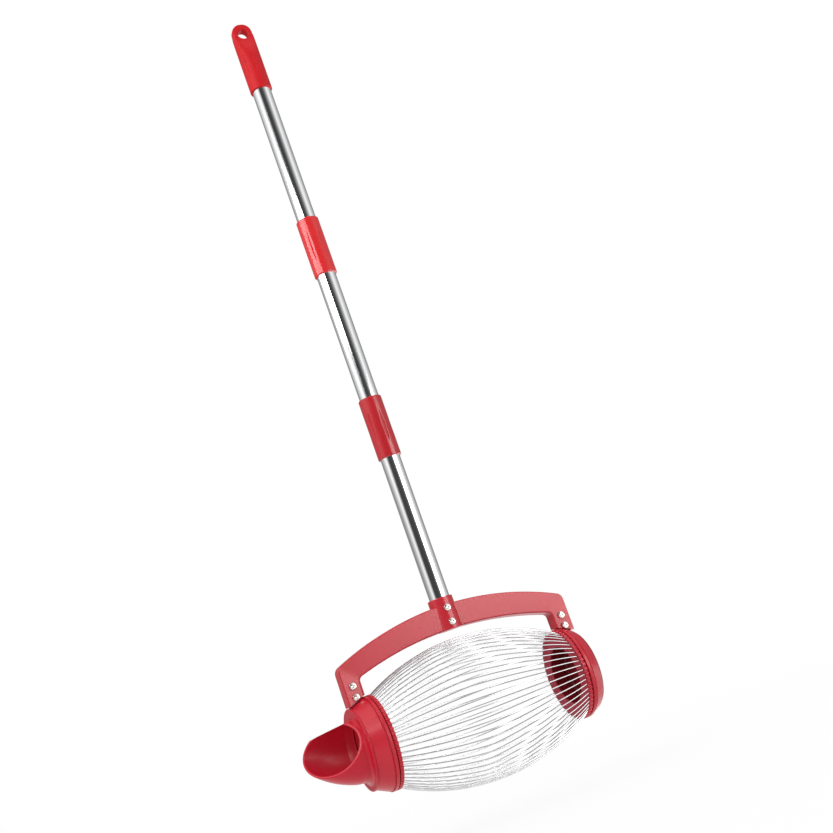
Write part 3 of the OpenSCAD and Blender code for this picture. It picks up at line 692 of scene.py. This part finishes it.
# Screws and nuts: zinc-plated pan heads with a cross recess, two through the boss and two through each
# lug, with a hexagon nut behind each.
HEAD_H = 2.4
DOME_R, DOME_RIM, DOME_ROWS = 2 * HEAD_R, 0.35, 26
HEAD_IN, HEAD_LIFT, HEAD_EASE = 0.1, 0.02, 0.2
SHANK_R = 2.0
NUT_FLATS, NUT_H = 7.0, 3.2
NUT_FACE, NUT_SLOPE = 0.94, math.tan(math.radians(30))
NUT_ROOM, NUT_SINK = 0.05, 0.35
SCREW_TAIL, TAIL_EASE = 0.5, 0.4
CROSS_ARM, CROSS_HALF, CROSS_DEPTH = 1.95, 0.52, 1.15
CROSS_FLANK, CROSS_FADE, CROSS_STOP = 0.22, 1.25, 1.2
SCREW_SAMPLES, NUT_SAMPLES = 80, 72


def pan_screw(x, z, seat):
    """A dome with a cross pressed into it that is deepest in the middle, then the edge of the head, its
    underside, the shank and the rounded tail behind the nut."""
    turn = full_turn(SCREW_SAMPLES)
    ring = np.linspace(0, HEAD_R - DOME_RIM, DOME_ROWS)[:, None]
    dome = HEAD_H - DOME_R + np.sqrt(DOME_R**2 - ring**2)
    arm_a, arm_b = np.abs(ring * np.cos(turn)), np.abs(ring * np.sin(turn))
    short, long = np.minimum(arm_a, arm_b), np.maximum(arm_a, arm_b)
    flank = np.clip((CROSS_HALF - short) / CROSS_FLANK + 0.5, 0, 1)
    fade = np.clip(CROSS_FADE - long / CROSS_ARM, 0, 1) * (long < CROSS_ARM * CROSS_STOP)
    sink = CROSS_DEPTH * flank * fade
    top = np.stack(np.broadcast_arrays(ring, -seat - dome + sink), -1)
    edge = -seat - (HEAD_H - DOME_R + math.sqrt(DOME_R**2 - HEAD_R**2))
    tail = seat + NUT_H + SCREW_TAIL
    rest = np.array([
        (HEAD_R - HEAD_IN, edge - HEAD_LIFT), (HEAD_R, edge + HEAD_EASE), (HEAD_R, -seat), (SHANK_R, -seat),
        (SHANK_R, tail - TAIL_EASE), (SHANK_R - TAIL_EASE, tail), (0, tail),
    ])
    return across(np.concatenate([top, all_round(rest, turn)]), turn, x, z)


def hex_nut(x, z, seat):
    """A hexagon whose outer corners are taken off by a cone, with a round hole: rows from the hole round
    the seat face, up the flats and back over the chamfer."""
    turn = full_turn(NUT_SAMPLES)
    corner = (turn + math.pi / 6) % (math.pi / 3) - math.pi / 6
    hexagon = NUT_FLATS / 2 / np.cos(corner)
    flat_r = NUT_FACE * NUT_FLATS / 2
    top = seat + NUT_H
    shoulder = top - (hexagon - flat_r) * NUT_SLOPE
    hole = np.full_like(turn, SHANK_R + NUT_ROOM)
    rows = [(hole, seat), (hexagon, seat), (hexagon, shoulder), (flat_r, top),
            (hole + NUT_SINK, top), (hole, top - NUT_SINK)]
    rows = np.array([np.stack(np.broadcast_arrays(r, y, turn)[:2], -1) for r, y in rows])
    return across(rows, turn, x, z)


def zinc(place):
    """Zinc plating: pale, a little warm, mottled in gloss and very finely pitted."""
    mottle = place.noise(scale=700, detail=3)
    pits = place.noise(scale=6000, detail=1)
    return {
        "Base Color": mottle.between((0.72, 0.70, 0.65), (0.86, 0.84, 0.79)),
        "Roughness": 0.20 + 0.16 * mottle,
        "Normal": pits.bump(strength=0.06, distance=0.0001),
    }


zinc_steel = finish_of("zinc_steel", 1.0, zinc)
boss_places = [(0.0, z, BOSS_SEAT) for z in BOSS_SCREWS]
lug_places = [(side * LUG_MID, z, ARCH_T / 2) for side in (LEFT, RIGHT) for z in LUG_SCREWS]
for name, places, make, close_rows, node in (
    ("boss_pan_heads", boss_places, pan_screw, False, "handle_screws"),
    ("boss_hex_nuts", boss_places, hex_nut, True, "handle_nuts"),
    ("lug_pan_heads", lug_places, pan_screw, False, "lug_screws"),
    ("lug_hex_nuts", lug_places, hex_nut, True, "lug_nuts"),
):
    fastener = skin(name, [(make(*place), close_rows, True) for place in places], sharp=28.0)
    dress(fastener, "frame", zinc_steel, "screw_steel", node)

# Handle tubes: three lengths of polished stainless tube, all of one diameter and with eased ends. The
# lower one stands in the boss, and the grip is pushed over the upper one.
BORE_R = 10.0
TUBE_EASE = 0.3
TUBE_SAMPLES = 128


def height(node):
    """Lowest and highest point of a node, in millimetres."""
    low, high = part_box(node)
    return low.z / MM, high.z / MM


def polished(place):
    """Polished stainless tube: nearly a mirror, with hair-fine polishing lines along it and faint smears."""
    lines = place.noise(scale=2200, detail=3, stretch=(1, 1, 0.012))
    smear = place.noise(scale=45, detail=3, stretch=(1, 1, 0.4))
    return {
        "Base Color": smear.between((0.80, 0.81, 0.82), (0.87, 0.87, 0.88)),
        "Roughness": 0.055 + 0.05 * smear + 0.04 * lines,
        "Normal": lines.bump(strength=0.03, distance=0.00005),
    }


tube_steel = finish_of("tube_steel", 1.0, polished)
for node, body in (("lower_tube", "frame"), ("mid_tube", "middle_section"), ("upper_tube", "top_section")):
    foot, top = height(node)
    wall = rounded([(BORE_R, foot, TUBE_EASE), (TUBE_R, foot, TUBE_EASE),
                    (TUBE_R, top, TUBE_EASE), (BORE_R, top, TUBE_EASE)], steps=3)
    tube = skin(node + "_polished", [(upright(wall, full_turn(TUBE_SAMPLES)), True, True)])
    even_normals(tube)
    dress(tube, body, tube_steel, "polished_tube", node)

# Screw plugs and seals: a red stud in the foot of the middle and the upper tube screws into the coupling
# below it, and the tube's end beds on a black rubber ring.
STUD_R, STUD_ROOM = 8.0, 0.02
THREAD_PITCH = 3.0
THREAD_DEPTH = 0.7
STUD_LEN = 21.5
INSERT_R, INSERT_EASE = BORE_R - 0.05, 0.6
SEAL_ROOM, SEAL_EASE = 0.3, 0.5
PLUG_SAMPLES, THREAD_ROWS, SEAL_SAMPLES = 72, 120, 96


def screw_plug(node):
    """The plug's radius by height and turn: a plain insert above, and below it a round thread, a cosine in
    height / pitch less the share of a turn, faded out at both ends."""
    foot, top = height(node)
    turn = full_turn(PLUG_SAMPLES)
    seat = foot + STUD_LEN
    rise = np.linspace(foot, seat, THREAD_ROWS)[:, None]
    fade = np.clip((rise - foot) / THREAD_PITCH, 0, 1) * np.clip((seat - rise) / THREAD_PITCH, 0, 1)
    wave = np.cos(2 * math.pi * (rise / THREAD_PITCH) - turn)
    stud = STUD_R - STUD_ROOM - THREAD_DEPTH / 2 * (1 - wave) * fade
    stud = np.stack(np.broadcast_arrays(stud, rise), -1)
    insert = rounded([(STUD_R, seat, 0), (INSERT_R, seat, 0), (INSERT_R, top, INSERT_EASE), (0, top, 0)])
    point = np.zeros_like(stud[:1])
    point[..., 1] = foot
    return upright(np.concatenate([point, stud, all_round(insert, turn)]), turn)


def seal(place):
    """Black rubber, matt and finely grained."""
    grain = place.noise(scale=1800, detail=3)
    return {
        "Base Color": grain.between((0.012, 0.012, 0.012), (0.030, 0.030, 0.030)),
        "Roughness": 0.55 + 0.25 * grain,
        "Normal": grain.bump(strength=0.2, distance=0.0002),
    }


# Painted light and shade: one sleeve red in a lit copy and a shaded copy; the plugs also take the shaded
# one.
lit_sleeve_red = red_plastic("lit_sleeve_red", (0.73, 0.021, 0.025), (0.81, 0.029, 0.033), 0.16, 1.49)
shaded_sleeve_red = red_plastic("shaded_sleeve_red", (0.49, 0.014, 0.022), (0.56, 0.021, 0.030), 0.16, 1.49)
seal_rubber = finish_of("seal_rubber", 0.0, seal)
for node, body in (("mid_plug", "middle_section"), ("upper_plug", "top_section")):
    plug = skin(node + "_threaded", [(screw_plug(node), False, True)], sharp=60.0)
    dress(plug, body, shaded_sleeve_red, "red_plastic", node)
for node, body in (("lower_seal", "lower_joint_ring"), ("upper_seal", "upper_joint_ring")):
    foot, top = height(node)
    hole, rim = STUD_R + SEAL_ROOM, TUBE_R - SEAL_ROOM
    bead = rounded([(hole, foot, SEAL_EASE), (rim, foot, SEAL_EASE),
                    (rim, top, SEAL_EASE), (hole, top, SEAL_EASE)])
    ring = skin(node + "_bead", [(upright(bead, full_turn(SEAL_SAMPLES)), True, True)], sharp=60.0)
    dress(ring, body, seal_rubber, "seal_rubber", node)

# Couplings: two glossy red sleeves, each fixed on the tube below. Six long leaf-shaped flutes are pressed
# into the side, and the tube above screws into the open mouth. The upper sleeve is a brighter red as
# painted light, the lower one a darker red as painted shade.
SLEEVE_R = 12.95
SLEEVE_EASE, SLEEVE_LIP_EASE, SEAT_EASE = 1.4, 0.3, 0.2
SLEEVE_MOUTH_R = TUBE_R + 0.2
THREAD_BORE_R = STUD_R + 0.08
SLEEVE_SOCKET = 30.0
SLEEVE_SAMPLES, SLEEVE_ROWS = 240, 60
FLUTES = 6
FLUTE_TURN = {"lower_sleeve": math.radians(217), "upper_sleeve": math.radians(231.5)}
FLUTE_HALF_W, FLUTE_HALF_LEN, FLUTE_DEPTH, FLUTE_MARGIN = 2.1, 19.0, 0.75, 1.0
THIN = 1e-6
SEAL_SEAT = {"lower_sleeve": height("lower_seal")[0], "upper_sleeve": height("upper_seal")[0]}


def flutes(turn, rise, radius, count, start, half_w, half_len, depth):
    """Depth of leaf-shaped flutes. A leaf's half width shrinks from its middle as 1 - (height / half
    length)^2, and its two flanks slope from the edge to a keel along the middle."""
    pitch = 2 * math.pi / count
    aside = radius * np.abs((turn - start + pitch / 2) % pitch - pitch / 2)
    leaf = np.clip(1 - (rise / half_len) ** 2, 0, 1)
    flank = np.clip(1 - aside / np.maximum(half_w * leaf, THIN), 0, 1)
    return depth * np.sqrt(leaf) * flank


def sleeve_rows(node):
    """Outer side with its flutes and eased ends, then the mouth, the thread's bore and the socket inside."""
    foot, top = height(node)
    turn = full_turn(SLEEVE_SAMPLES)
    middle = (foot + top) / 2
    reach = FLUTE_HALF_LEN + FLUTE_MARGIN
    rise = np.linspace(-reach, reach, SLEEVE_ROWS)[:, None]
    leaf = (FLUTE_HALF_W, FLUTE_HALF_LEN, FLUTE_DEPTH)
    sunk = flutes(turn, rise, SLEEVE_R, FLUTES, FLUTE_TURN[node], *leaf)
    side = np.stack(np.broadcast_arrays(SLEEVE_R - sunk, middle + rise), -1)
    seat, stop = SEAL_SEAT[node], foot + SLEEVE_SOCKET
    ends = rounded([
        (SLEEVE_R, middle, 0), (SLEEVE_R, top, SLEEVE_EASE), (SLEEVE_MOUTH_R, top, SLEEVE_LIP_EASE),
        (SLEEVE_MOUTH_R, seat, 0), (THREAD_BORE_R, seat, SEAT_EASE), (THREAD_BORE_R, stop, 0),
        (SOCKET_R, stop, 0), (SOCKET_R, foot, SLEEVE_LIP_EASE), (SLEEVE_R, foot, SLEEVE_EASE),
    ])
    return upright(np.concatenate([side, all_round(ends[1:], turn)]), turn)


# The upper sleeve takes the lit copy of the red and the lower the shaded copy, as painted light and shade.
for node, body, red in (
    ("lower_sleeve", "frame", shaded_sleeve_red),
    ("upper_sleeve", "middle_section", lit_sleeve_red),
):
    sleeve = skin(node + "_fluted", [(sleeve_rows(node), True, True)], sharp=40.0)
    even_normals(sleeve)
    dress(sleeve, body, red, "red_plastic", node)

# Grip: a red end grip pushed over the upper tube. It has eight shallow flutes round its middle, and its
# top runs out through a ramp on both sides into a flat end, round in outline, with the hang hole in it.
GRIP_R = 13.0
GRIP_FLUTES = 8
GRIP_FLUTE_W, GRIP_FLUTE_LEN, GRIP_FLUTE_DEPTH = 1.7, 16.0, 0.7
GRIP_FLUTE_RISE = 34.0
GRIP_TURN = math.radians(265)
GRIP_FOOT, GRIP_FOOT_EASE, GRIP_LIP, GRIP_LIP_EASE = 1.2, 0.8, 1.1, 0.3
GRIP_SAMPLES, LOW_ROWS, RAMP_ROWS, END_ROWS, HOLE_SAMPLES = 240, 60, 40, 34, 64
FLAT_END_R = 13.4
HANG_R, HANG_CHAMFER = 6.25, 0.8
HANG_Z = height("grip")[1] - FLAT_END_R
FLAT_HALF_T, FLAT_DROP, FLAT_EASE = 5.5, 8.0, 1.2
RAMP_LEN, RAMP_EASE, RAMP_GAP = 20.0, 7.0, 1.0
SOCKET_TOP, SOCKET_TOP_EASE = 861.6, 0.4
SOFT = 9.0


def grip_rows():
    """Sections of the grip by height. A section is round, and cut off at the sides by the round outline of
    the end and at the front and back by its flat faces: 1 / radius^n is the sum of those of the three
    shapes, which eases the edges. The ramp is half of (fall + root of fall^2 + ease^2)."""
    foot, top = height("grip")
    turn = full_turn(GRIP_SAMPLES)
    ramp_foot = HANG_Z - FLAT_DROP - RAMP_LEN
    low = np.linspace(foot + GRIP_FOOT, ramp_foot - RAMP_GAP, LOW_ROWS)
    middle = np.linspace(ramp_foot, HANG_Z, RAMP_ROWS)
    end = HANG_Z + FLAT_END_R * np.sin(np.linspace(0, math.pi / 2, END_ROWS)[1:])
    z = np.concatenate([low, middle, end])[:, None]
    above = np.clip(z - HANG_Z, 0, FLAT_END_R)
    wide = np.sqrt(FLAT_END_R**2 - above**2) + np.clip(HANG_Z - z, 0, None)
    crown = np.clip((z - top) / FLAT_EASE + 1, 0, 1)
    deep = FLAT_HALF_T - FLAT_EASE * (1 - np.sqrt(1 - crown**2))
    fall = HANG_Z - FLAT_DROP - z
    slope = (fall + np.sqrt(fall**2 + RAMP_EASE**2)) / 2
    deep = deep + np.where(z < HANG_Z, slope, 0) * (GRIP_R - FLAT_HALF_T) / RAMP_LEN
    rise = z - foot - GRIP_FLUTE_RISE
    leaf = (GRIP_FLUTE_W, GRIP_FLUTE_LEN, GRIP_FLUTE_DEPTH)
    bar = GRIP_R - flutes(turn, rise, GRIP_R, GRIP_FLUTES, GRIP_TURN, *leaf)
    shapes = [1 / bar, np.abs(np.cos(turn)) / np.maximum(wide, THIN), np.abs(np.sin(turn)) / deep]
    radius = sum(shape**SOFT for shape in shapes) ** (-1 / SOFT)
    side = np.stack(np.broadcast_arrays(radius, z), -1)
    inside = rounded([
        (0, SOCKET_TOP, 0), (SOCKET_R, SOCKET_TOP, SOCKET_TOP_EASE), (SOCKET_R, foot, GRIP_LIP_EASE),
        (GRIP_R, foot, GRIP_FOOT_EASE), (GRIP_R, foot + GRIP_LIP, 0),
    ])
    return upright(np.concatenate([all_round(inside, turn), side]), turn)


grip = skin("fluted_grip", [(grip_rows(), False, True)], sharp=40.0)
flare, face = HANG_R + HANG_CHAMFER, FLAT_HALF_T - HANG_CHAMFER
hang = [(0, -GRIP_R), (flare, -GRIP_R), (flare, -FLAT_HALF_T), (HANG_R, -face),
        (HANG_R, face), (flare, FLAT_HALF_T), (flare, GRIP_R), (0, GRIP_R)]
hole = skin("hang_hole", [(across(hang, full_turn(HOLE_SAMPLES), 0, HANG_Z), False, True)])
cut(grip, hole, "DIFFERENCE", sharp=40.0)
even_normals(grip)
grip_red = red_plastic("grip_red", (0.60, 0.008, 0.013), (0.68, 0.012, 0.018), 0.38, 1.26)
dress(grip, "top_section", grip_red, "red_plastic", "grip")

# Floor: a wide pale ground that takes a faint shadow near the object and is as white as the backdrop
# further out. In the gloss it is brighter at the right, and dull far out to the front and the back. It
# lies low enough for the cage to stay clear of it when both couplings are unscrewed.
FLOOR_HALF = 4000.0
FLOOR_Z = -38.0
SHADOW_FROM_TO, SHADOW_SHARE = (0.12, 0.90), 0.1
DULL_FROM_TO, DULL_SHARE = (0.55, 0.90), 0.8
BRIGHT_FROM_TO, BRIGHT_GAIN = (0.15, 0.50), 2.5
FLOOR_MATT = (0.8, 0.8, 0.8, 1)


def ramp(field, start, end):
    """0 where a field is at the start or before it, 1 at the end or past it, and even between them."""
    return ((field - start) / (end - start)).clamp(0, 1)


def pale_ground():
    """A white glow for what the camera sees directly, mirrored or through something, mixed with a matt
    ground near the object. In the gloss the glow's level changes with the distance from the object in
    metres and with the direction, the share of that distance that lies to the right."""
    material = bpy.data.materials.new("pale_ground")
    material.use_nodes = True
    material.node_tree.nodes.clear()
    start = Field(material.node_tree, None)
    place = start.node("ShaderNodeTexCoord", {}, {}, "Object")
    away = start.node("ShaderNodeVectorMath", {"operation": "LENGTH"}, {0: place}, "Value")
    seen = start.node("ShaderNodeLightPath", {}, {}, "Is Camera Ray")
    mirrored = start.node("ShaderNodeLightPath", {}, {}, "Is Glossy Ray")
    through = start.node("ShaderNodeLightPath", {}, {}, "Is Transmission Ray")
    pale = 1 - SHADOW_SHARE + SHADOW_SHARE * ramp(away, *SHADOW_FROM_TO)
    white = pale * (seen + mirrored + through).clamp(0, 1)
    right = start.node("ShaderNodeSeparateXYZ", {}, {"Vector": place}, "X")
    aside = right / away
    dull = ramp(away, *DULL_FROM_TO) * (1 - aside * aside) * DULL_SHARE
    level = 1 + mirrored * (ramp(right, *BRIGHT_FROM_TO) * BRIGHT_GAIN * aside - dull)
    matt = start.node("ShaderNodeBsdfDiffuse", {}, {"Color": FLOOR_MATT})
    glow = start.node("ShaderNodeEmission", {}, {"Color": level, "Strength": 1.0})
    both = start.node("ShaderNodeMixShader", {}, {0: white, 1: matt, 2: glow})
    start.node("ShaderNodeOutputMaterial", {}, {"Surface": both})
    return material


edge = FLOOR_HALF * np.array([-1.0, 1.0])
floor_x, floor_y = np.meshgrid(edge, edge)
floor_z = np.full_like(floor_x, FLOOR_Z)
floor = skin("ground", [(np.stack([floor_x, floor_y, floor_z], -1), False, False)])
floor.data.materials.append(pale_ground())

# Light: a large soft lamp from the upper left in a pale room that is brighter overhead. A box on the left
# and a low panel on the right are there for the gloss alone. What the tubes mirror besides is drawn in
# the world by direction: bright on both sides, dark behind the camera, and dull behind the object.
LAMP_AT, LAMP_SIZE, LAMP_POWER = np.array([-1270.0, -890.0, 1950.0]), (1.3, 1.3), 18.0
BOX_AT, BOX_SIZE, BOX_POWER = np.array([-1418.0, -488.0, 1210.0]), (2.10, 0.36), 14.0
PANEL_AT, PANEL_SIZE, PANEL_POWER = np.array([830.0, -1290.0, 400.0]), (0.95, 0.80), 12.0
LAMP_LEAN = 0.6
ROOM_LEVEL, ROOM_RISE = 0.45, 0.70
DARK_LEVEL = 0.055
LOW_FROM_TO, LOW_NEAR, LOW_FAR = (0.28, 0.14), 14, 15
LEFT_NEAR, LEFT_FAR, LEFT_LEVEL = (-38, -65), (-150, -90), 1.1
RIGHT_NEAR, RIGHT_FAR = (-14, 44), (130, 50)
BACK_LEFT, BACK_RIGHT, BACK_LEVEL = (-135, -105), (140, 100), 0.25
CEILING_FROM_TO, CEILING_LEVEL = (0.70, 0.90), 0.5


def studio_world():
    """The level by heading, which is the angle from the front towards the right in degrees, and by height,
    which is the upward part of the direction. Low down, the bright left side is some degrees narrower at
    each edge. The camera itself sees plain white, and matt surfaces a room without sides."""
    world = bpy.data.worlds.new("studio")
    bpy.context.scene.world = world
    world.use_nodes = True
    world.node_tree.nodes.clear()
    start = Field(world.node_tree, None)
    look = start.node("ShaderNodeTexCoord", {}, {}, "Generated")
    x, y, up = [start.node("ShaderNodeSeparateXYZ", {}, {"Vector": look}, axis) for axis in "XYZ"]
    heading = start.math("ARCTAN2", x, y * -1) * math.degrees(1)
    low = ramp(up, *LOW_FROM_TO)
    left_side = ramp(heading + LOW_NEAR * low, *LEFT_NEAR) * ramp(heading - LOW_FAR * low, *LEFT_FAR)
    dawn = ramp(heading, *RIGHT_NEAR)
    right_side = dawn * dawn * ramp(heading, *RIGHT_FAR)
    back = (1 - ramp(heading, *BACK_LEFT) * ramp(heading, *BACK_RIGHT)) * BACK_LEVEL
    ceiling = ramp(up, *CEILING_FROM_TO) * CEILING_LEVEL
    mirrored = DARK_LEVEL + left_side * LEFT_LEVEL + right_side + back + ceiling
    room = ROOM_LEVEL + ROOM_RISE * ramp(up, 0, 1)
    seen = start.node("ShaderNodeLightPath", {}, {}, "Is Camera Ray")
    glossy = start.node("ShaderNodeLightPath", {}, {}, "Is Glossy Ray")
    level = seen + (1 - seen) * (glossy * mirrored + (1 - glossy) * room)
    sky = start.node("ShaderNodeBackground", {}, {"Color": (1, 1, 1, 1), "Strength": level})
    start.node("ShaderNodeOutputWorld", {}, {"Surface": sky})


def aim(place, forward, up):
    """The place and turn of a camera or a lamp: it looks along its own -Z, with its own Y nearest to up."""
    forward = forward / np.linalg.norm(forward)
    right = np.cross(forward, up)
    right = right / np.linalg.norm(right)
    turn = np.column_stack([right, np.cross(right, forward), -forward])
    matrix = np.eye(4)
    matrix[:3, :3], matrix[:3, 3] = turn, place * MM
    return Matrix(matrix.tolist())


def soft_lamp(name, place, size, power, gloss):
    """A rectangular area lamp, its size in metres and its power in watts. It faces the handle's axis at a
    share of its own height, and is either for the gloss alone or for all but the gloss."""
    lamp = bpy.data.lights.new(name, "AREA")
    lamp.shape = "RECTANGLE"
    lamp.size, lamp.size_y = size
    lamp.energy = power
    holder = bpy.data.objects.new(name, lamp)
    target = np.array([0.0, 0.0, LAMP_LEAN * place[2]])
    holder.matrix_world = aim(place, target - place, (0, 0, 1))
    holder.visible_glossy, holder.visible_diffuse = gloss, not gloss
    bpy.context.scene.collection.objects.link(holder)


studio_world()
soft_lamp("upper_lamp", LAMP_AT, LAMP_SIZE, LAMP_POWER, False)
soft_lamp("left_box", BOX_AT, BOX_SIZE, BOX_POWER, True)
soft_lamp("right_panel", PANEL_AT, PANEL_SIZE, PANEL_POWER, True)

# Camera: where the photograph was taken from, at about the height of the cage and left of the front. It
# looks a little upwards and is rolled to the side, so that the upright tool leans in the picture.
CAMERA_AT = np.array([-444.44, -1205.19, 95.0])
CAMERA_LOOK, CAMERA_UP = np.array([0.36717, 0.9035, 0.22107]), (0.23472, -0.31998, 0.91789)
FOCAL_PX, FRAME_PX, SENSOR = 1208.98, 833.0, 36.0
lens = bpy.data.cameras.new("camera")
lens.sensor_width = SENSOR
lens.lens = FOCAL_PX / FRAME_PX * SENSOR
camera = bpy.data.objects.new("camera", lens)
camera.matrix_world = aim(CAMERA_AT, CAMERA_LOOK, CAMERA_UP)
bpy.context.scene.collection.objects.link(camera)
bpy.context.scene.camera = camera
bpy.context.scene.view_settings.view_transform = "Standard"
